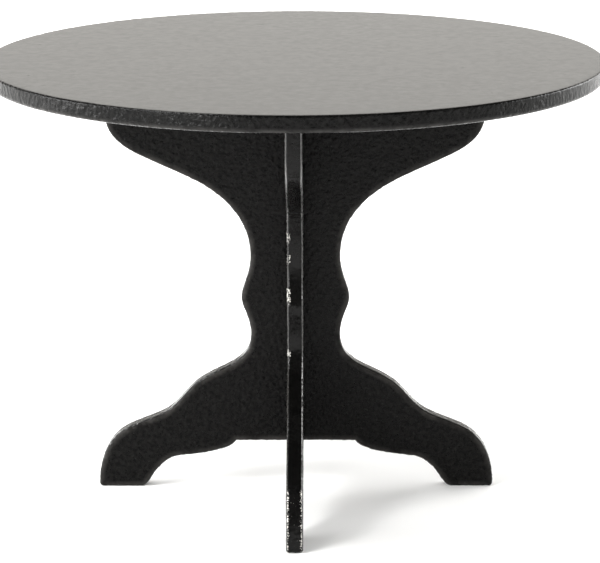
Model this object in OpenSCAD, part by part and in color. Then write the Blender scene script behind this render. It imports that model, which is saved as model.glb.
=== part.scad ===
// Dolls' house dining table: a round top on a pedestal of two scroll-cut boards that cross at right angles.
// The boards pass through each other with a cross-halving joint, and four blind pins locate the top.
// Millimetres, +Z up. The origin is on the floor, under the centre of the top. Feet point along X and Y.

/* [Table] */
// Height from the floor to the top face
table_h = 64.9; // [61:0.1:70]
// Diameter of the round top
top_d = 89; // [76:1:110]
// Thickness of the round top
top_t = 2.4; // [2.2:0.1:4]
// Radius of the rounded upper arris of the top
upper_arris_r = 0.3; // [0.1:0.1:0.6]
// Radius of the rounded lower arris of the top
lower_arris_r = 0.6; // [0.1:0.1:0.8]

/* [Pedestal boards] */
// Thickness of both boards
board_t = 2.4; // [2:0.1:3.6]
// Width across the brackets that carry the top
bracket_span = 55; // [48:0.2:60]
// Height of the upright nose of a bracket, below the top
nose_h = 5.8; // [4:0.1:7]
// Width across the feet, from toe to toe
foot_span = 58.9; // [54:0.1:66]
// Length of the flat that a foot stands on
foot_flat = 5.6; // [4.5:0.1:6.5]
// Height of the arch between the feet, at the middle
arch_h = 7.2; // [6.5:0.1:8]

/* [Outline of the stem] */
// Width of the waist, above the swelling
waist_w = 13.2; // [12:0.1:14.4]
// Height of the waist
waist_z = 35.6; // [34:0.2:37.6]
// Width of the swelling
swell_w = 15.9; // [14.8:0.1:18]
// Height of the swelling
swell_z = 29.3; // [28.5:0.1:30.5]
// Width of the ankle, below the swelling
ankle_w = 13.2; // [12:0.1:14.4]
// Height of the ankle
ankle_z = 23.7; // [22.5:0.1:25]

/* [Joinery] */
// Clearance on each side of a board in the other board's slot, filled by glue and paint
slot_gap = 0.04; // [0.02:0.01:0.1]
// Diameter of a locating pin
pin_d = 1; // [0.7:0.1:1.4]
// Depth of a pin hole in a board
pin_depth = 3.5; // [2.5:0.5:5]
// Depth of a pin hole in the underside of the top
top_hole_depth = 1.4; // [1:0.1:1.7]
// Distance of each pin from the middle of the table
pin_reach = 20; // [15:1:24]

/* [Hidden] */
$fn = 96;

paint_colour = [0.11, 0.11, 0.10];
steel_colour = [0.72, 0.72, 0.70];

curve_steps = 8;        // straight pieces in each curve of the outline
arris_step = 15;        // degrees between points on a small round
cut_over = 1;           // how far a cutting shape runs past the face that it cuts
toe_r = 0.5;            // radius of the lower corner of a toe
pin_gap = 0.02;         // clearance round a pin, filled by glue
pin_end_gap = 0.2;      // clearance over a pin's upper end
pin_chamfer = 0.15;     // chamfer on each end of a pin

board_top = table_h - top_t;
bracket_r = bracket_span / 2;
foot_r = foot_span / 2;
waist_r = waist_w / 2;
ankle_r = ankle_w / 2;
slot_w = board_t + 2 * slot_gap;
slot_mid = (arch_h + board_top) / 2;
pin_l = pin_depth + top_hole_depth - pin_end_gap;

// A knot is [x, z, heading, handle before, handle after]: the curve passes through it along its heading,
// in degrees from +X towards +Z, and a longer handle keeps it on that heading for longer.
function arm(angle) = [cos(angle), sin(angle)];
function spot(k) = [k[0], k[1]];
function leaving(k) = spot(k) + k[4] * arm(k[2]);
function arriving(k) = spot(k) - k[3] * arm(k[2]);
function cubic(a, b, t) =
    pow(1 - t, 3) * spot(a) + 3 * pow(1 - t, 2) * t * leaving(a)
    + 3 * (1 - t) * pow(t, 2) * arriving(b) + pow(t, 3) * spot(b);
function curve(knots) = [
    for (i = [0:len(knots) - 2], s = [0:curve_steps - 1]) cubic(knots[i], knots[i + 1], s / curve_steps),
    spot(knots[len(knots) - 1])
];
function arc(centre, r, from, to) = [
    for (s = [0:abs(to - from) / arris_step]) centre + r * arm(from + s * sign(to - from) * arris_step)
];
function mirrored(points) = [for (i = [len(points) - 1:-1:0]) [-points[i][0], points[i][1]]];

// Places on the bracket, as parts of the way from the waist to its upper outer corner
function bracket_x(part) = waist_r + part * (bracket_r - waist_r);
function bracket_z(part) = waist_z + part * (board_top - waist_z);
// Places on the leg, as parts of the way out from the ankle to the toe and up from the floor to the ankle
function leg_x(part) = ankle_r + part * (foot_r - ankle_r);
function leg_z(part) = part * ankle_z;

// One side of a board, from the nose of its bracket down to its toe
side_knots = [
    [bracket_r, board_top - nose_h, 270, 0, 2.5],
    [bracket_x(0.78), bracket_z(0.567), 206, 3.3, 4.7],
    [bracket_x(0.38), bracket_z(0.42), 208, 3, 3.7],
    [waist_r, waist_z, 270, 6.2, 3],
    [swell_w / 2, swell_z, 270, 1.7, 1.5],
    [ankle_r, ankle_z, 270, 2.7, 2.6],
    [leg_x(0.165), leg_z(0.785), 334, 2.7, 3.9],
    [leg_x(0.42), leg_z(0.62), 311, 2.2, 3],
    [leg_x(0.64), leg_z(0.457), 338, 2.7, 3.3],
    [leg_x(0.91), leg_z(0.307), 309, 2.4, 2.5],
    [foot_r, toe_r, 270, 2.1, 0]
];
// The arch under the board, from the heel of the flat that the foot stands on in to the middle
heel_x = foot_r - toe_r - foot_flat;
arch_knots = [
    [heel_x, 0, 180, 0, 1.1],
    [heel_x - 2.5, 0.36 * arch_h, 130, 1.4, 1.4],
    [heel_x - 5.8, 0.66 * arch_h, 173, 1.4, 2.4],
    [heel_x - 12.8, 0.84 * arch_h, 160, 2.4, 1],
    [heel_x - 14.5, arch_h, 128, 0.5, 0]
];
half_outline = concat(
    [[bracket_r, board_top]],
    curve(side_knots),
    arc([foot_r - toe_r, toe_r], toe_r, -arris_step, -90),
    curve(arch_knots)
);

module board_blank() {
    rotate([90, 0, 0])
        linear_extrude(board_t, center = true)
            polygon(concat(half_outline, mirrored(half_outline)));
}

// The slot that takes the other board, from one height to another
module halving_slot(from_z, to_z) {
    translate([-slot_w / 2, -board_t, from_z])
        cube([slot_w, 2 * board_t, to_z - from_z]);
}

module pin_holes(from_z, depth, angles) {
    for (a = angles)
        rotate([0, 0, a])
            translate([pin_reach, 0, from_z])
                cylinder(h = depth, d = pin_d + 2 * pin_gap);
}

module table_top() {
    r = top_d / 2;
    color(paint_colour)
        difference() {
            rotate_extrude($fn = 180)
                polygon(concat(
                    [[0, board_top]],
                    arc([r - lower_arris_r, board_top + lower_arris_r], lower_arris_r, -90, 0),
                    arc([r - upper_arris_r, table_h - upper_arris_r], upper_arris_r, 0, 90),
                    [[0, table_h]]
                ));
            pin_holes(board_top - cut_over, top_hole_depth + cut_over, [0:90:270]);
        }
}

// Slotted from above
module pedestal_board_left_right() {
    color(paint_colour)
        difference() {
            board_blank();
            halving_slot(slot_mid, board_top + cut_over);
            pin_holes(board_top - pin_depth, pin_depth + cut_over, [0, 180]);
        }
}

// Slotted from below, and turned a quarter turn
module pedestal_board_front_back() {
    color(paint_colour)
        difference() {
            rotate([0, 0, 90])
                difference() {
                    board_blank();
                    halving_slot(arch_h - cut_over, slot_mid);
                }
            pin_holes(board_top - pin_depth, pin_depth + cut_over, [90, 270]);
        }
}

module locating_pin(angle) {
    r = pin_d / 2;
    color(steel_colour)
        rotate([0, 0, angle])
            translate([pin_reach, 0, board_top - pin_depth])
                rotate_extrude()
                    polygon([
                        [0, 0], [r - pin_chamfer, 0], [r, pin_chamfer],
                        [r, pin_l - pin_chamfer], [r - pin_chamfer, pin_l], [0, pin_l]
                    ]);
}

module locating_pin_right() { locating_pin(0); }
module locating_pin_back() { locating_pin(90); }
module locating_pin_left() { locating_pin(180); }
module locating_pin_front() { locating_pin(270); }

table_top();
pedestal_board_left_right();
pedestal_board_front_back();
locating_pin_left();
locating_pin_right();
locating_pin_front();
locating_pin_back();
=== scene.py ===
"""Dolls' house dining table in black paint: the looks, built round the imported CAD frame.

Everything is in metres in the row frame: +Z up, origin on the floor under the middle of the top. Sizes of
the pieces come from the CAD nodes. The paint's relief, the softened arrises and the nibs are mesh detail.
The functions that make shapes work in millimetres, and object_from turns them into metres.
"""

import math
import random

import bmesh
import bpy
import numpy as np
from mathutils import Matrix, Vector, noise
from mathutils.geometry import delaunay_2d_cdt


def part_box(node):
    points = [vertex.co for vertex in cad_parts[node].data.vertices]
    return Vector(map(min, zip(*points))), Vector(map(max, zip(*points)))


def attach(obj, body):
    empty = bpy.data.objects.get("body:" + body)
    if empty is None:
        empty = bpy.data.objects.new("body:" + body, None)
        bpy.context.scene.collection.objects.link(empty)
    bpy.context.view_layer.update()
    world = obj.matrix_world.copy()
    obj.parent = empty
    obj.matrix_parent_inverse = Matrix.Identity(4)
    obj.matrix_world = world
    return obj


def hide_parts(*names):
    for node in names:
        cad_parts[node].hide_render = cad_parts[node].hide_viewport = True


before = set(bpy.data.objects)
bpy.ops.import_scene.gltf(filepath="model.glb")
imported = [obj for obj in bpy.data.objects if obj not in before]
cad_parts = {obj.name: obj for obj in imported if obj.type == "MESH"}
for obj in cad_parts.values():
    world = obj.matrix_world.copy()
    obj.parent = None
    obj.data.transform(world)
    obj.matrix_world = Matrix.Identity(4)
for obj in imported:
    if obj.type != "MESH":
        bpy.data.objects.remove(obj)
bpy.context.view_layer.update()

MM = 0.001
TOP = "table_top"
BOARDS = ("pedestal_board_left_right", "pedestal_board_front_back")
PINS = tuple(name for name in sorted(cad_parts) if name.startswith("locating_pin"))
FLAT = 0.01     # mm, how near to a plane a point counts as on it
CORNER = math.radians(30)   # a turn in an outline that is sharper than this is a corner


# ---------------------------------------------------------------- outlines

def face_outline(node, across, through):
    """The closed outline of a board's flat face as (across, up) points in mm, anticlockwise.
    across and through are the axis numbers of the board's width and thickness."""
    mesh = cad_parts[node].data
    mesh.calc_loop_triangles()
    points = np.array([v.co for v in mesh.vertices]) / MM
    near = points[:, through].min() + FLAT
    keys = [(round(p[across], 4), round(p[2], 4)) for p in points]
    following = {}
    for triangle in mesh.loop_triangles:
        corners = list(triangle.vertices)
        if all(points[c, through] < near for c in corners):
            for a, b in zip(corners, corners[1:] + corners[:1]):
                following.setdefault(keys[a], set()).add(keys[b])
    # An edge with no twin that runs the other way is on the outline.
    single = {a: [b for b in ends if a not in following.get(b, ())] for a, ends in following.items()}
    single = {a: ends[0] for a, ends in single.items() if ends}
    start = max(single)
    loop, here = [start], single[start]
    while here != start:
        loop.append(here)
        here = single[here]
    loop = np.array(loop)
    return loop if signed_area(loop) > 0 else loop[::-1]


def signed_area(loop):
    """The area inside a closed loop, positive when it runs anticlockwise."""
    following = np.roll(loop, -1, axis=0)
    return 0.5 * np.sum(loop[:, 0] * following[:, 1] - following[:, 0] * loop[:, 1])


def turns(loop):
    """The change of heading at each point of a closed loop, in radians, positive to the left."""
    ahead = np.roll(loop, -1, axis=0) - loop
    behind = loop - np.roll(loop, 1, axis=0)
    cross = behind[:, 0] * ahead[:, 1] - behind[:, 1] * ahead[:, 0]
    return np.arctan2(cross, np.sum(ahead * behind, axis=1))


def curve_through(run, parts=12):
    """A centripetal Catmull-Rom curve through an open run of points, with that many parts to each span."""
    padded = np.vstack([2 * run[0] - run[1], run, 2 * run[-1] - run[-2]])
    knots = np.concatenate([[0], np.cumsum(np.linalg.norm(np.diff(padded, axis=0), axis=1) ** 0.5)])
    fine = []
    for i in range(1, len(padded) - 2):
        p, t = padded[i - 1:i + 3], knots[i - 1:i + 3]
        s = np.linspace(t[1], t[2], parts, endpoint=False)[:, None]
        a = [((t[j + 1] - s) * p[j] + (s - t[j]) * p[j + 1]) / (t[j + 1] - t[j]) for j in range(3)]
        b = [((t[j + 2] - s) * a[j] + (s - t[j]) * a[j + 1]) / (t[j + 2] - t[j]) for j in range(2)]
        fine.append(((t[2] - s) * b[0] + (s - t[1]) * b[1]) / (t[2] - t[1]))
    return np.vstack(fine + [run[-1:]])


def smooth_run(run, step):
    """Evenly spaced points, without the last, on a curve through an open run of points."""
    if len(run) > 2:
        run = curve_through(run)
    length = np.concatenate([[0], np.cumsum(np.linalg.norm(np.diff(run, axis=0), axis=1))])
    count = max(2, round(length[-1] / step))
    at = np.linspace(0, length[-1], count, endpoint=False)
    return np.stack([np.interp(at, length, run[:, k]) for k in range(2)], axis=1)


def smooth_outline(loop, step):
    """A closed outline resampled evenly and smoothly, with its corners kept sharp."""
    corners = np.flatnonzero(np.abs(turns(loop)) > CORNER)
    runs = []
    for a, b in zip(corners, np.roll(corners, -1)):
        indices = np.arange(a, b + 1 if b > a else b + 1 + len(loop)) % len(loop)
        runs.append(smooth_run(loop[indices], step))
    return np.vstack(runs)


def inward(loop):
    """Normals that point into an anticlockwise loop, one long along straights and longer at corners, so
    that an offset keeps its width."""
    tangent = np.roll(loop, -1, axis=0) - loop
    tangent /= np.linalg.norm(tangent, axis=1)[:, None]
    normal = np.stack([-tangent[:, 1], tangent[:, 0]], axis=1)
    mean = normal + np.roll(normal, 1, axis=0)
    mean /= np.linalg.norm(mean, axis=1)[:, None]
    return mean / np.sum(mean * normal, axis=1)[:, None]


def eased(limit, place, total, slope=0.6):
    """limit, lowered near its low places so that it climbs no faster than slope along the outline. place
    is each point's distance along it and total is its length."""
    gap = np.abs(place[:, None] - place[None, :])
    gap = np.minimum(gap, total - gap)
    return np.min(limit[None, :] + slope * gap, axis=1)


# ---------------------------------------------------------------- flat faces

BATCH = 1500                                    # how many points are compared with an outline at a time
NIB_RINGS = ((0.4, 6), (0.75, 9), (1.1, 12))    # the points round a nib: share of its radius, how many
NIB_REACH = NIB_RINGS[-1][0]
EDGE_GAP = 0.6                                  # the room between the grid and the outline, in spacings
NIB_GAP = 0.4                                   # the room between the grid and a nib, in spacings
MERGE = 1e-7                                    # mm, how near two points have to be to count as one


def inside(points, loop):
    """True for each point that lies in the loop."""
    ax, ay = loop[:, 0], loop[:, 1]
    bx, by = np.roll(ax, -1), np.roll(ay, -1)
    result = np.zeros(len(points), bool)
    for part in np.array_split(np.arange(len(points)), max(1, len(points) // BATCH)):
        x, y = points[part, 0, None], points[part, 1, None]
        spans = (ay[None] > y) != (by[None] > y)
        with np.errstate(divide="ignore", invalid="ignore"):
            crossing = ax[None] + (y - ay[None]) * (bx - ax)[None] / (by - ay)[None]
        result[part] = np.sum(spans & (x < crossing), axis=1) % 2 == 1
    return result


def clear_of(points, others, distance):
    """True for each point that is at least distance from all the others."""
    result = np.zeros(len(points), bool)
    for part in np.array_split(np.arange(len(points)), max(1, len(points) // BATCH)):
        gaps = points[part][:, None, :] - others[None, :, :]
        result[part] = np.min(np.sum(gaps * gaps, axis=2), axis=1) > distance * distance
    return result


def nib_points(nibs):
    """Extra points that give each nib (x, y, radius, height) of the paint its own shape."""
    rings = []
    for x, y, radius, _ in nibs:
        rings.append([(x, y)])
        for part, count in NIB_RINGS:
            angles = np.arange(count) * 2 * math.pi / count + part
            round_x = x + part * radius * np.cos(angles)
            round_y = y + part * radius * np.sin(angles)
            rings.append(np.stack([round_x, round_y], axis=1))
    return np.vstack(rings)


def nib_height(points, nibs):
    """How far the nibs raise the face at each point."""
    raised = np.zeros(len(points))
    for x, y, radius, height in nibs:
        away = np.hypot(points[:, 0] - x, points[:, 1] - y) / radius
        raised += height * np.clip(1 - away * away, 0, 1) ** 2
    return raised


def fill(loop, spacing, nibs):
    """The points to add inside a loop, and the triangles that fill it, numbered from the loop's points on
    through the added ones."""
    low, high = loop.min(0), loop.max(0)
    rows = np.arange(low[1], high[1], spacing * math.sqrt(3) / 2)
    grid = np.vstack([
        np.stack([np.arange(low[0] + (i % 2) * spacing / 2, high[0], spacing)] * 2, axis=1) * (1, 0) + (0, y)
        for i, y in enumerate(rows)
    ])
    extra = nib_points(nibs)
    grid = grid[inside(grid, loop)]
    grid = grid[clear_of(grid, loop, EDGE_GAP * spacing)]
    for x, y, radius, _ in nibs:
        away = np.hypot(grid[:, 0] - x, grid[:, 1] - y)
        grid = grid[away > NIB_REACH * radius + NIB_GAP * spacing]
    points = np.vstack([loop, extra, grid])
    count = len(loop)
    edges = [(i, (i + 1) % count) for i in range(count)]
    made = delaunay_2d_cdt([Vector(p) for p in points], edges, [], 1, MERGE)
    if len(made[0]) != len(points):
        raise ValueError("a flat face's outline crosses itself")
    source = [origins[0] for origins in made[3]]
    return points[count:], [[source[i] for i in triangle] for triangle in made[2]]


# ---------------------------------------------------------------- relief of the paint

def field(points, size, seed):
    """Smooth noise from about -1 to 1 at each point (mm), with features of the given size."""
    shift = Vector((seed * 17.3, seed * 5.1, seed * 11.7))
    return np.array([noise.noise(Vector(p) / size + shift) for p in points])


def object_from(name, points, faces, slots, materials):
    """A smooth-shaded mesh object from points in mm; slots gives each face's material number."""
    mesh = bpy.data.meshes.new(name)
    mesh.from_pydata((np.asarray(points) * MM).tolist(), [], faces)
    mesh.polygons.foreach_set("material_index", slots)
    for material in materials:
        mesh.materials.append(material)
    made = bmesh.new()
    made.from_mesh(mesh)
    bmesh.ops.recalc_face_normals(made, faces=made.faces)
    made.to_mesh(mesh)
    made.free()
    mesh.shade_smooth()
    piece = bpy.data.objects.new(name, mesh)
    bpy.context.scene.collection.objects.link(piece)
    return piece


def store(piece, name, values):
    """Keeps a number from 0 to 1 with each vertex, for the material."""
    attribute = piece.data.attributes.new(name, "FLOAT", "POINT")
    attribute.data.foreach_set("value", np.asarray(values, np.float32))


def raise_surface(piece, amount):
    """Moves each vertex along its normal by amount (mm), but not below the floor."""
    mesh = piece.data
    place = np.zeros(len(mesh.vertices) * 3, np.float32)
    normal = np.zeros(len(mesh.vertices) * 3, np.float32)
    mesh.vertices.foreach_get("co", place)
    mesh.vertex_normals.foreach_get("vector", normal)
    place = place.reshape(-1, 3) + normal.reshape(-1, 3) * (np.asarray(amount)[:, None] * MM)
    place[:, 2] = np.maximum(place[:, 2], 0)
    mesh.vertices.foreach_set("co", place.ravel())
    mesh.update()


def bridge(rings, count):
    """Quads between successive closed rings of count vertices. rings holds each ring's first vertex."""
    faces = []
    for lower, upper in zip(rings[:-1], rings[1:]):
        for i in range(count):
            j = (i + 1) % count
            faces.append((lower + i, lower + j, upper + j, upper + i))
    return faces


# ---------------------------------------------------------------- the pieces

# Lengths in this section are in mm.
OUTLINE_STEP = 0.22     # between points along a board's outline
FACE_GRID = 0.42        # between points on a board's flat faces
RIM_STEP = 0.2          # between points round the top
TOP_GRID, UNDER_GRID = 0.6, 1.1     # between points on its upper and lower faces
FLAT_RINGS = 3          # how many rings at each end of its profile have the polished face's paint
ARRIS_W = 0.95          # how far a board's softened arris reaches in over its face
ARRIS_DROP = 0.24       # how far it falls by the board's edge
ARRIS_ROUND = 0.8       # the most of a hollow's radius that an arris takes up
ARRIS_STEEP = 0.7       # the most that an arris falls, as a share of its width
ARRIS_PARTS = (0, 0.03, 0.08, 0.16, 0.28, 0.45, 0.68, 1.0)   # its rings, from the edge inwards
WALL_RINGS = 6          # the rings across a board's edge, between its two arrises
BRIGHT_RINGS = 3        # how many rings of each arris have the arris's bright paint
SHARP = 0.02            # the arris where a board is glued to another piece
PAINT_BRIDGE = 0.015    # how far glue and paint reach past the clearance between the crossed boards
SLOT_MARGIN = 0.1       # how far round the slot counts as in it
NEARLY_STRAIGHT = 1e-3  # radians between outline points, below which a turn is not a hollow
WIDE = 100              # the radius taken for a straight
BOARD_NIBS = 9          # nibs in the paint of each face of a board
TOP_NIBS, UNDER_NIBS = 14, 6    # and of the top's two faces
BOARD_NIB_CLEAR, TOP_NIB_CLEAR = 1.0, 3     # the room between nibs and a face's edge
FACE, EDGE, ARRIS = 0, 1, 2     # a board's materials, by number
DISC_FACE, DISC_RIM = 0, 1      # the top's

# The pale specks on this board are painted highlights that stand in for glints on its toes and left arris.
GLINT_BOARD = BOARDS[1]
SPECKLED_TOE_H = 10      # the height below which the edges are lumpy and carry painted highlights, pale specks for glints
GLINT_W = 0.56        # how far in from the board's left side its arris with painted highlights goes
GLINT_RUNS = (        # along that arris, runs of painted highlights: height, half length, and how thick with specks
    (31.2, 1.6, 1.06),
    (22.4, 0.9, 1.0),
    (36.5, 1.3, 0.9),
    (39.8, 1.4, 0.95),
)


def slot_points(loop, half, slotted_above):
    """True for each point of a board's outline that is in its slot, for boards of that half thickness."""
    post = loop[np.abs(loop[:, 0]) < 4 * half][:, 1]
    middle = (np.max(post) + np.min(post)) / 2
    in_slot = np.abs(loop[:, 0]) < half + SLOT_MARGIN
    if slotted_above:
        return in_slot & (loop[:, 1] > middle - SLOT_MARGIN)
    return in_slot & (loop[:, 1] < middle + SLOT_MARGIN)


def arris_widths(loop, steps, glued):
    """How far in the arris reaches at each outline point: sharp where glued, and less in tight hollows."""
    bend = turns(loop)
    radius = np.where(bend > NEARLY_STRAIGHT, steps / np.maximum(bend, NEARLY_STRAIGHT), WIDE)
    limit = np.minimum(ARRIS_W, ARRIS_ROUND * radius)
    limit[np.abs(bend) > CORNER] = ARRIS_W
    place = np.concatenate([[0], np.cumsum(steps)[:-1]])
    return eased(np.where(glued, SHARP, limit), place, steps.sum())


def board_layers(loop, width, half):
    """A board's rings from one face over its edge to the other, as (outline, depth, how far out on the
    arris from 0 to 1)."""
    drop = np.minimum(ARRIS_DROP, ARRIS_STEEP * width)
    normal = inward(loop)
    front = []
    for part in ARRIS_PARTS:
        fall = drop * (1 - part) ** 3
        front.append((loop + normal * (part * width)[:, None], half - fall, 1 - part))
    back = [(flat, -depth, out) for flat, depth, out in front]
    across_edge = np.linspace(1, -1, WALL_RINGS + 2)[1:-1]
    wall = [(loop, side * (half - drop), 1.0) for side in across_edge]
    return front[::-1] + wall + back


def board_slot(gap):
    """The material between ring number gap of a board and the next."""
    first_wall = len(ARRIS_PARTS) - 1
    last_wall = first_wall + WALL_RINGS
    past = max(first_wall - gap, gap - last_wall)
    if past <= 0:
        return EDGE
    return ARRIS if past <= BRIGHT_RINGS else FACE


def board_nibs(edge, low, high, draw):
    """Nibs (x, y, radius, height) in the paint of a board's face, clear of its edge."""
    nibs = []
    while len(nibs) < BOARD_NIBS:
        spot = np.array([[draw.uniform(low[0], high[0]), draw.uniform(low[1], high[1])]])
        if inside(spot, edge)[0] and clear_of(spot, edge, BOARD_NIB_CLEAR)[0]:
            nibs.append((spot[0, 0], spot[0, 1], draw.uniform(0.12, 0.2), draw.uniform(0.02, 0.045)))
    return nibs


def numbered(triangles, ring_start, count, offset):
    """fill's triangles with the mesh's vertex numbers: a ring of count vertices, then the added ones."""
    return [
        [ring_start + i if i < count else offset + i - count for i in triangle]
        for triangle in triangles
    ]


def paint_board(piece, node, points, out, held, half, through, seed):
    """Raises a board's paint and marks its worn arrises, which carry a painted sheen, and its painted
    highlights.
    out is how far out on the arris each point is. Nothing is done where held is True."""
    # Each height here is times a noise with features of the size that field is given.
    peel = 0.006 * field(points, 2.6, seed) + 0.0035 * field(points, 1.0, seed + 1)
    grain = 0.010 * field(points, 0.55, seed + 2) + 0.010 * field(points, 1.7, seed + 3)
    patchy = np.clip(field(points, 5.0, seed + 4) * 2 + 0.45, 0, 1)
    ridge = 0.075 * patchy * field(points, 0.42, seed + 5)
    on_arris = np.clip(out * 3, 0, 1)
    toe = np.clip((SPECKLED_TOE_H - points[:, 2]) / 2, 0, 1) * np.clip(out * 1.2 - 0.1, 0, 1)
    lumps = 0.055 * toe * field(points, 0.38, seed + 6)
    raise_surface(piece, np.where(held, 0, peel + on_arris * (grain + ridge) + lumps))
    # How far out on the arris each point is, which lightens the arris: partly wear and partly a painted
    # sheen.
    store(piece, "wear_and_sheen", np.where(held, 0, out))
    # Painted highlights, pale specks for glints, fill the toes by both arrises and run along the left arris.
    by_arrises = np.clip((np.abs(points[:, through]) - half + 0.75) / 0.4, 0.72, 1)
    left_arris = points[:, through] < GLINT_W - half
    painted_glints = 0.97 * toe * by_arrises
    for height, reach, strength in GLINT_RUNS:
        near = np.clip(1.4 - np.abs(points[:, 2] - height) / reach, 0, 1) * left_arris
        painted_glints = np.maximum(painted_glints, strength * near * on_arris)
    store(piece, "painted_glint_share", np.where(held | (node != GLINT_BOARD), 0, painted_glints))


def board(node, across, through, slotted_above, materials, seed):
    """A scroll-cut board with softened arrises and painted faces, standing for its CAD node."""
    low, high = [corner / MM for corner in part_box(node)]
    half = (high[through] - low[through]) / 2
    loop = smooth_outline(face_outline(node, across, through), OUTLINE_STEP)
    count = len(loop)
    steps = np.linalg.norm(np.roll(loop, -1, axis=0) - loop, axis=1)
    in_slot = slot_points(loop, half, slotted_above)
    glued = in_slot | (loop[:, 1] > high[2] - FLAT)
    slot_wall = in_slot & (np.abs(loop[:, 0]) > half)
    loop[slot_wall, 0] = np.sign(loop[slot_wall, 0]) * (half - PAINT_BRIDGE)

    # Rings of the outline make the arrises and the edge, and then each flat face is filled.
    layers = board_layers(loop, arris_widths(loop, steps, glued), half)
    rings = []
    for flat, depth, _ in layers:
        rings.append(np.column_stack([flat[:, 0], np.broadcast_to(depth, count), flat[:, 1]]))
    points = np.vstack(rings)
    starts = [i * count for i in range(len(layers))]
    faces = bridge(starts, count)
    slots = [board_slot(i // count) for i in range(len(faces))]

    draw = random.Random(seed)
    for side, ring in ((1, 0), (-1, len(layers) - 1)):
        edge = layers[ring][0]
        nibs = board_nibs(edge, (low[across], low[2]), (high[across], high[2]), draw)
        added, triangles = fill(edge, FACE_GRID, nibs)
        faces += numbered(triangles, starts[ring], count, len(points))
        slots += [FACE] * len(triangles)
        lift = half + nib_height(added, nibs)
        points = np.vstack([points, np.column_stack([added[:, 0], side * lift, added[:, 1]])])

    # Turn the board's own (width, thickness, height) into the row's axes.
    if across == 1:
        points = np.column_stack([-points[:, 1], points[:, 0], points[:, 2]])
    piece = object_from(node + "_painted", points, faces, slots, materials)
    out = np.zeros(len(points))
    held = np.zeros(len(points), bool)
    for start, (_, _, ring_out) in zip(starts, layers):
        out[start:start + count] = ring_out
        held[start:start + count] = glued
    paint_board(piece, node, points, out, held, half, through, seed)
    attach(piece, "root")
    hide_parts(node)
    return piece


def disc_profile(radius, bottom, top):
    """The round top's (radius, height) points from its upper face over the rim to its lower face."""
    upper_arris, lower_arris = 0.28, 0.6
    dish = 0.01     # how far the upper face has fallen by its arris
    profile = [(radius - 1.4, top), (radius - 0.8, top - 0.004)]
    for degrees in range(0, 91, 15):
        a = math.radians(degrees)
        inset, fall = upper_arris * (1 - math.sin(a)), upper_arris * (1 - math.cos(a))
        profile.append((radius - inset, top - dish - fall))
    for z in np.linspace(top - upper_arris - dish, bottom + lower_arris, 11)[1:-1]:
        profile.append((radius, z))
    for degrees in range(0, 91, 10):
        a = math.radians(degrees)
        inset, rise = lower_arris * (1 - math.cos(a)), lower_arris * (1 - math.sin(a))
        profile.append((radius - inset, bottom + rise))
    profile.append((radius - lower_arris - 0.5, bottom))
    return profile


def disc_nibs(radius, wanted, draw):
    """Nibs (x, y, radius, height) in the paint of a round face."""
    nibs = []
    while len(nibs) < wanted:
        x, y = draw.uniform(-radius, radius), draw.uniform(-radius, radius)
        if math.hypot(x, y) < radius - TOP_NIB_CLEAR:
            nibs.append((x, y, draw.uniform(0.12, 0.22), draw.uniform(0.02, 0.05)))
    return nibs


def paint_disc(piece, points, radius, bottom, seed):
    """Raises the round top's paint, coarse on the left of the rim, and marks its worn lower arris for a
    painted highlight.
    """
    reach = np.hypot(points[:, 0], points[:, 1])
    rim = np.clip((reach - radius + 0.5) / 0.3, 0, 1)
    face_relief = 0.0035 * field(points * (0.25, 1, 1), 2.4, seed)
    drawn_out = np.column_stack([points[:, :2], points[:, 2] * 0.35])
    from_coarsest = (points[:, 0] + 0.6 * radius) ** 2 / (0.5 * radius) ** 2
    coarse = 0.3 + 0.7 * np.clip(0.9 - from_coarsest, 0, 1)
    pits = coarse * (0.050 * field(drawn_out, 0.42, seed + 1) + 0.020 * field(points, 1.1, seed + 2))
    held = (points[:, 2] < bottom + FLAT / 2) & (reach < radius - TOP_NIB_CLEAR)
    raise_surface(piece, np.where(held, 0, face_relief * (1 - rim) + pits * rim))
    # The lower arris is marked for a lighter line: partly wear and partly a painted highlight.
    store(piece, "wear_and_sheen", np.clip(1 - np.abs(points[:, 2] - bottom - 0.25) / 0.45, 0, 1) * rim)


def disc(materials, seed):
    """The round top: a flat polished face, a rougher rim and a rounder lower arris."""
    low, high = [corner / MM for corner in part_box(TOP)]
    radius = (high[0] - low[0]) / 2
    profile = disc_profile(radius, low[2], high[2])
    count = round(2 * math.pi * radius / RIM_STEP)
    angles = np.arange(count) * 2 * math.pi / count
    rings = []
    for r, z in profile:
        rings.append(np.column_stack([r * np.cos(angles), r * np.sin(angles), np.full(count, z)]))
    points = np.vstack(rings)
    starts = [i * count for i in range(len(profile))]
    faces = bridge(starts, count)
    slots = []
    for gap in range(len(profile) - 1):
        on_face = gap < FLAT_RINGS or gap > len(profile) - FLAT_RINGS
        slots += [DISC_FACE if on_face else DISC_RIM] * count

    draw = random.Random(seed)
    under = len(profile) - 1
    for ring, side, spacing, wanted in ((0, 1, TOP_GRID, TOP_NIBS), (under, -1, UNDER_GRID, UNDER_NIBS)):
        nibs = disc_nibs(radius, wanted, draw)
        edge = points[starts[ring]:starts[ring] + count, :2]
        added, triangles = fill(edge, spacing, nibs)
        faces += numbered(triangles, starts[ring], count, len(points))
        slots += [DISC_FACE] * len(triangles)
        level = profile[ring][1] + side * nib_height(added, nibs)
        points = np.vstack([points, np.column_stack([added, level])])
    piece = object_from(TOP + "_painted", points, faces, slots, materials)
    paint_disc(piece, points, radius, low[2], seed)
    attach(piece, "root")
    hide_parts(TOP)
    return piece


# ---------------------------------------------------------------- materials

def node_material(name):
    """A new material with its Principled shader, its node tree and the object coordinates."""
    material = bpy.data.materials.new(name)
    material.use_nodes = True
    tree = material.node_tree
    shader = tree.nodes["Principled BSDF"]
    coordinates = tree.nodes.new("ShaderNodeTexCoord").outputs["Object"]
    return material, tree, shader, coordinates


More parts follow.
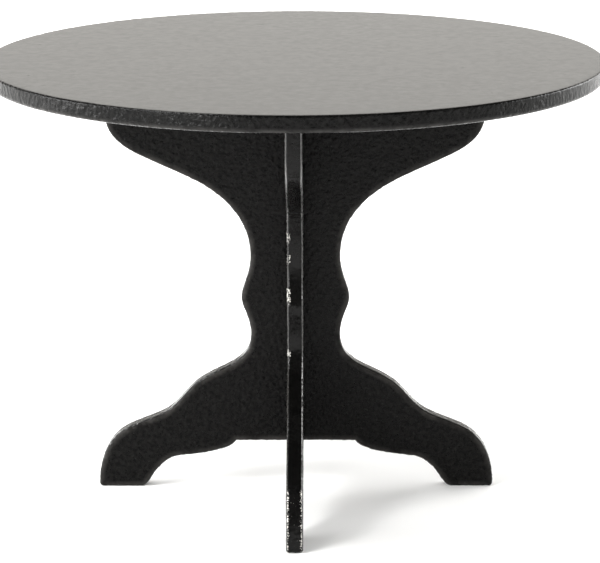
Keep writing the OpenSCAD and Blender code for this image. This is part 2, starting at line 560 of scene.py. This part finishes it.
def noise_value(tree, vector, per_mm, detail=2.0, roughness=0.5, stretch=(1, 1, 1)):
    """A noise texture's value with that many features per mm. A small stretch makes them longer that way."""
    mapping = tree.nodes.new("ShaderNodeMapping")
    mapping.inputs["Scale"].default_value = [s * per_mm / MM for s in stretch]
    tree.links.new(vector, mapping.inputs["Vector"])
    texture = tree.nodes.new("ShaderNodeTexNoise")
    texture.inputs["Scale"].default_value = 1.0
    texture.inputs["Detail"].default_value = detail
    texture.inputs["Roughness"].default_value = roughness
    tree.links.new(mapping.outputs["Vector"], texture.inputs["Vector"])
    return texture.outputs["Fac"]


def remap(tree, value, low, high, start=0.0, end=1.0):
    """value, taken from low..high to start..end."""
    node = tree.nodes.new("ShaderNodeMapRange")
    for socket, number in (("From Min", low), ("From Max", high), ("To Min", start), ("To Max", end)):
        node.inputs[socket].default_value = number
    tree.links.new(value, node.inputs["Value"])
    return node.outputs["Result"]


def mixed(tree, value, dark, light):
    """A colour between dark and light, by value."""
    ramp = tree.nodes.new("ShaderNodeValToRGB")
    ramp.color_ramp.elements[0].color = (*dark, 1)
    ramp.color_ramp.elements[1].color = (*light, 1)
    tree.links.new(value, ramp.inputs["Fac"])
    return ramp.outputs["Color"]


def bumped(tree, height, depth_mm, normal=None):
    """A bump of that depth in millimetres, over an earlier one if there is one."""
    bump = tree.nodes.new("ShaderNodeBump")
    bump.inputs["Strength"].default_value = 1.0
    bump.inputs["Distance"].default_value = depth_mm * MM
    tree.links.new(height, bump.inputs["Height"])
    if normal is not None:
        tree.links.new(normal, bump.inputs["Normal"])
    return bump.outputs["Normal"]


def attribute(tree, name):
    """The number that the piece keeps with each vertex under that name, or 0 if it keeps none."""
    node = tree.nodes.new("ShaderNodeAttribute")
    node.attribute_name = name
    return node.outputs["Fac"]


def product(tree, first, second):
    """first times second."""
    node = tree.nodes.new("ShaderNodeMath")
    node.operation = "MULTIPLY"
    tree.links.new(first, node.inputs[0])
    tree.links.new(second, node.inputs[1])
    return node.outputs["Value"]


def over(tree, share, colour, covering):
    """colour, with a share of the covering colour (r, g, b) over it."""
    first_colour, second_colour, result = 6, 7, 2    # the Mix node's colour sockets
    node = tree.nodes.new("ShaderNodeMix")
    node.data_type = "RGBA"
    tree.links.new(share, node.inputs["Factor"])
    tree.links.new(colour, node.inputs[first_colour])
    node.inputs[second_colour].default_value = (*covering, 1)
    return node.outputs[result]


# Pale specks of painted highlight, laid over the paint where the piece's share says so.
GLINTS_PER_MM = 4.6
GLINT_FROM, GLINT_FULL = 0.49, 0.55   # where a painted highlight speck begins and is whole, in the noise times the piece's share
GLINT_COLOUR = (0.50, 0.485, 0.455)


def paint(name, dark, light, wear_and_sheen, roughness, bumps, ior):
    """Black paint from dark to light, lighter on worn arrises with partly painted sheen, and with pale
    specks of painted highlight where the piece says so. bumps is a list of (features per mm, depth in mm,
    detail, stretch)."""
    material, tree, shader, where = node_material(name)
    tone = remap(tree, noise_value(tree, where, 1.6, detail=3), 0.36, 0.64)
    patch = remap(tree, noise_value(tree, where, 0.5, detail=4), 0.25, 0.6)
    # Worn arrises are lightened: partly wear and partly a painted sheen.
    sheen_and_wear_share = product(tree, remap(tree, attribute(tree, "wear_and_sheen"), 0.0, 0.9), patch)
    # Painted highlights: pale specks mixed into the base colour.
    painted_glints = product(tree, attribute(tree, "painted_glint_share"), noise_value(tree, where, GLINTS_PER_MM, detail=2))
    colour = over(tree, sheen_and_wear_share, mixed(tree, tone, dark, light), wear_and_sheen)
    colour = over(tree, remap(tree, painted_glints, GLINT_FROM, GLINT_FULL), colour, GLINT_COLOUR)
    tree.links.new(colour, shader.inputs["Base Color"])
    cloud = noise_value(tree, where, 0.9, detail=5, roughness=0.6)
    tree.links.new(remap(tree, cloud, 0.3, 0.7, *roughness), shader.inputs["Roughness"])
    normal = None
    for per_mm, depth, detail, stretch in bumps:
        normal = bumped(tree, noise_value(tree, where, per_mm, detail, stretch=stretch), depth, normal)
    tree.links.new(normal, shader.inputs["Normal"])
    shader.inputs["IOR"].default_value = ior
    return material


def drawn_steel(name):
    """Bright drawn wire, scored along its length."""
    material, tree, shader, where = node_material(name)
    score = noise_value(tree, where, 12, detail=3, stretch=(1, 1, 0.03))
    colour = mixed(tree, score, (0.48, 0.47, 0.45), (0.66, 0.65, 0.62))
    tree.links.new(colour, shader.inputs["Base Color"])
    tree.links.new(remap(tree, score, 0.3, 0.7, 0.25, 0.4), shader.inputs["Roughness"])
    tree.links.new(bumped(tree, score, 0.004), shader.inputs["Normal"])
    shader.inputs["Metallic"].default_value = 1.0
    return material


# How the noise of a bump is stretched.
ROUND = (1, 1, 1)
ALONG_X = (0.12, 1, 1)
TALL = (1, 1, 0.75)
# Each paint's lighter arris colour is partly wear and partly a painted sheen.
face_paint = paint(
    "black_paint_face",
    dark=(0.0003, 0.0003, 0.0003),
    light=(0.0054, 0.0052, 0.0048),
    wear_and_sheen=(0.034, 0.032, 0.030),
    roughness=(0.18, 0.30),
    bumps=[(1.5, 0.12, 2, ROUND), (3.6, 0.075, 3, ROUND)],
    ior=1.18,
)
edge_paint = paint(
    "black_paint_edge",
    dark=(0.001, 0.001, 0.001),
    light=(0.004, 0.0039, 0.0037),
    wear_and_sheen=(0.004, 0.0039, 0.0037),
    roughness=(0.10, 0.22),
    bumps=[(1.6, 0.09, 2, ROUND), (5.0, 0.014, 3, ROUND)],
    ior=1.22,
)
top_paint = paint(
    "black_paint_top",
    dark=(0.0050, 0.0049, 0.0046),
    light=(0.0080, 0.0077, 0.0072),
    wear_and_sheen=(0.0080, 0.0077, 0.0072),
    roughness=(0.22, 0.27),
    bumps=[(0.9, 0.0009, 3, ALONG_X), (5.0, 0.0016, 2, ROUND)],
    ior=1.42,
)
rim_paint = paint(
    "black_paint_rim",
    dark=(0.001, 0.001, 0.001),
    light=(0.005, 0.0049, 0.0047),
    wear_and_sheen=(0.026, 0.025, 0.024),
    roughness=(0.10, 0.20),
    bumps=[(1.6, 0.13, 3, TALL), (4.0, 0.030, 3, ROUND)],
    ior=1.20,
)
arris_paint = paint(
    "black_paint_arris",
    dark=(0.002, 0.002, 0.002),
    light=(0.009, 0.0088, 0.0084),
    wear_and_sheen=(0.012, 0.0118, 0.0115),
    roughness=(0.07, 0.20),
    bumps=[(1.5, 0.10, 2, ROUND), (5.0, 0.012, 3, ROUND)],
    ior=1.45,
)
steel = drawn_steel("drawn_steel")
board_paints = [face_paint, edge_paint, arris_paint]

disc([top_paint, rim_paint], seed=11)
board(BOARDS[0], across=0, through=1, slotted_above=True, materials=board_paints, seed=23)
board(BOARDS[1], across=1, through=0, slotted_above=False, materials=board_paints, seed=37)
for name in PINS:
    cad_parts[name].data.materials.clear()
    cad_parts[name].data.materials.append(steel)


# ---------------------------------------------------------------- studio

WARM = (1.0, 0.975, 0.925)
WHITE = (1, 1, 1)
TABLE_MIDDLE = (0, 0, 0.04)


def studio_floor():
    """A wide pale floor of fine paper."""
    mesh = bpy.data.meshes.new("studio_floor")
    reach = 8.0
    corners = [(-reach, -reach, 0), (reach, -reach, 0), (reach, reach, 0), (-reach, reach, 0)]
    mesh.from_pydata(corners, [], [(0, 1, 2, 3)])
    floor = bpy.data.objects.new("studio_floor", mesh)
    bpy.context.scene.collection.objects.link(floor)
    material, tree, shader, where = node_material("pale_paper")
    tone = noise_value(tree, where, 0.08, detail=3)
    tree.links.new(mixed(tree, tone, (0.86, 0.86, 0.85), (0.89, 0.89, 0.885)), shader.inputs["Base Color"])
    shader.inputs["Roughness"].default_value = 0.9
    shader.inputs["Specular IOR Level"].default_value = 0.1
    mesh.materials.append(material)


def softbox(name, place, size, radiance, aim=TABLE_MIDDLE, glossy=True, colour=WHITE):
    """A rectangular area light of that (width, height) and radiance, at place and facing aim."""
    width, height = size
    light = bpy.data.lights.new(name, "AREA")
    light.shape = "RECTANGLE"
    light.size, light.size_y = width, height
    light.energy = radiance * math.pi * width * height
    light.color = colour
    lamp = bpy.data.objects.new(name, light)
    bpy.context.scene.collection.objects.link(lamp)
    lamp.location = place
    lamp.rotation_euler = (Vector(aim) - Vector(place)).to_track_quat("-Z", "Y").to_euler()
    lamp.visible_camera = False
    lamp.visible_glossy = glossy


def key_lights():
    """The lights that the paint mirrors: a backdrop, softboxes at the sides and above, and dim walls."""
    softbox("backdrop", (0, 1.1, 0.4), (3.4, 0.8), 0.98, aim=(0, 0, 0.4), colour=WARM)
    softbox("left_box", (-0.42, -0.25, 0.36), (0.14, 0.16), 28.0)
    softbox("left_strip", (-0.92, -0.05, 0.16), (0.60, 0.34), 13.0)
    softbox("front_left_box", (-0.62, -0.80, 0.13), (0.24, 0.20), 26.0)
    softbox("upper_left_strip", (-0.42, -0.10, 0.90), (0.34, 0.20), 30.0)
    softbox("right_strip", (0.90, 0.38, 0.20), (0.90, 0.36), 9.0)
    softbox("high_back_box", (0, 0.75, 1.3), (1.2, 0.8), 1.0, colour=WARM)
    for side, name in ((-1, "front_left_wall"), (1, "front_right_wall")):
        softbox(name, (side * 1.1, -1.0, 0.45), (1.0, 0.5), 0.7, colour=WARM)


def fill_lights():
    """Soft light from above and round the floor that the paint does not mirror, to keep the floor pale."""
    softbox("overhead", (0, 0.4, 1.2), (2.4, 2.0), 1.7, aim=(0, 0.1, 0), glossy=False)
    places = {"fill_left": (-1.2, 0.2, 0.3), "fill_right": (1.2, 0.2, 0.3), "fill_back": (0, 1.3, 0.3)}
    for name, place in places.items():
        softbox(name, place, (1.6, 0.6), 2.6, aim=(0, 0, 0.02), glossy=False)


def dim_room():
    """A warm, even, dim surround."""
    world = bpy.data.worlds.new("studio")
    world.use_nodes = True
    background = world.node_tree.nodes["Background"]
    background.inputs["Color"].default_value = (*WARM, 1)
    background.inputs["Strength"].default_value = 0.22
    bpy.context.scene.world = world


def camera():
    """A long lens a little above the table and a hair to its right, looking down at its middle."""
    distance, height = 355.9 * MM, 125.1 * MM
    bearing, down, roll, pan = (math.radians(d) for d in (0.488, 14.744, -0.151, -0.380))
    data = bpy.data.cameras.new("camera")
    data.sensor_width, data.lens = 36, 149.8
    data.clip_start, data.clip_end = 0.01, 30
    eye = bpy.data.objects.new("camera", data)
    bpy.context.scene.collection.objects.link(eye)
    ahead = Vector((math.sin(pan) * math.cos(down), math.cos(pan) * math.cos(down), -math.sin(down)))
    right = Vector((math.cos(pan), -math.sin(pan), 0))
    up = right.cross(ahead)
    side = right * math.cos(roll) + up * math.sin(roll)
    above = up * math.cos(roll) - right * math.sin(roll)
    turn = Matrix((side, above, -ahead)).transposed().to_4x4()
    place = Vector((math.sin(bearing) * distance, -math.cos(bearing) * distance, height))
    eye.matrix_world = Matrix.Translation(place) @ turn
    bpy.context.scene.camera = eye


studio_floor()
key_lights()
fill_lights()
dim_room()
camera()
bpy.context.scene.view_settings.view_transform = "Standard"
